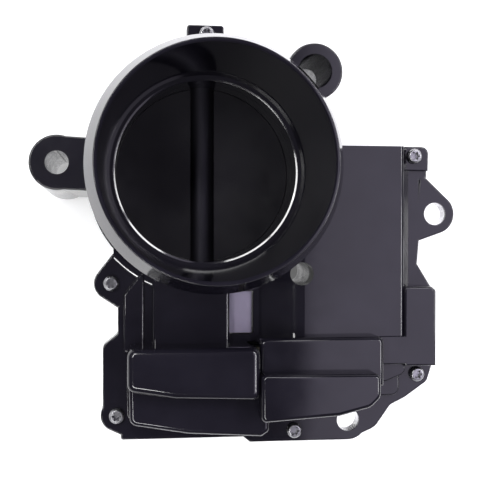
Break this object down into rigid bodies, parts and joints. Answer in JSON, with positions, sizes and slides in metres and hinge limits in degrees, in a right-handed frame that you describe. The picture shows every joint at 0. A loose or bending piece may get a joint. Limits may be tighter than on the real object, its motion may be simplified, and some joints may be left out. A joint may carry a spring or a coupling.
{
  "type": "throttle body",
  "caption": "Electronic throttle body: flared inlet tube over a closed butterfly plate, with gear and motor covers, bolt ears with metal sleeves and flange screws.",
  "frame": {"origin": "middle of the part's bounding box on the manifold mounting face", "axes": "+Z along the bore from the manifold face to the inlet mouth, +Y along the throttle shaft away from the gears, +X from the left bolt ear towards the motor side"},
  "size_m": [0.1352, 0.1308, 0.088],
  "materials": {
    "housing": "moulded glossy black",
    "plate": "satin black",
    "shaft_steel": "ground steel",
    "screw_steel": "bright zinc plate",
    "sleeve": "turned",
    "rubber": "matt",
    "nylon": "natural nylon",
    "motor_steel": "zinc plated",
    "magnet": "dark ferrite",
    "brass": "machined",
    "board": "printed circuit board",
    "connector": "black satin",
    "stop": "coated grey"
  },
  "bodies": {
    "body": {"front_housing": "housing", "rear_body": "housing", "housing_gasket": "rubber", "manifold_seal": "rubber", "shaft_bearing_upper": "shaft_steel", "shaft_seal_upper": "rubber", "shaft_end_plug": "shaft_steel", "shaft_seal_lower": "rubber", "shaft_bearing_lower": "shaft_steel", "spring_bush": "nylon", "return_spring": "shaft_steel", "spring_stop": "stop", "idler_pin": "shaft_steel", "motor_can": "motor_steel", "motor_end_cap": "connector", "motor_magnet_left": "magnet", "motor_magnet_right": "magnet", "sensor_board": "board", "connector_socket": "connector", "sleeve_left": "sleeve", "sleeve_upper_right": "sleeve", "sleeve_lower_right": "sleeve", "lug_sleeve_right": "sleeve", "lug_sleeve_bottom": "sleeve", "connector_terminal_1": "brass", "housing_screw_1": "screw_steel", "connector_terminal_2": "brass", "housing_screw_2": "screw_steel", "connector_terminal_3": "brass", "housing_screw_3": "screw_steel", "connector_terminal_4": "brass", "housing_screw_4": "screw_steel", "connector_terminal_5": "brass", "housing_screw_5": "screw_steel", "connector_terminal_6": "brass", "housing_screw_6": "screw_steel"},
    "throttle": {"throttle_plate": "plate", "throttle_shaft": "shaft_steel", "plate_screw_1": "screw_steel", "plate_screw_2": "screw_steel", "sector_gear": "nylon", "sensor_magnet": "magnet"},
    "idler": {"idler_gear": "nylon"},
    "motor_rotor": {"motor_armature": "motor_steel", "motor_shaft": "shaft_steel", "motor_pinion": "brass"}
  },
  "joints": [
    {"name": "throttle_turn", "type": "hinge", "parent": "body", "child": "throttle", "pos_m": [-0.01295, 0.0194, 0.032], "axis": [0, 1, 0], "range_deg": [0, 84]},
    {"name": "idler_turn", "type": "hinge", "parent": "body", "child": "idler", "pos_m": [0.01775, 0.0194, 0.03949], "axis": [0, 1, 0], "range_deg": [-307.35, 0]},
    {"name": "motor_turn", "type": "hinge", "parent": "body", "child": "motor_rotor", "pos_m": [0.03765, 0.0194, 0.03749], "axis": [0, 1, 0], "range_deg": [0, 1229.41]}
  ],
  "couplings": [
    {"joint": "idler_turn", "follows": "throttle_turn", "ratio": -3.6471},
    {"joint": "motor_turn", "follows": "throttle_turn", "ratio": 14.588}
  ]
}
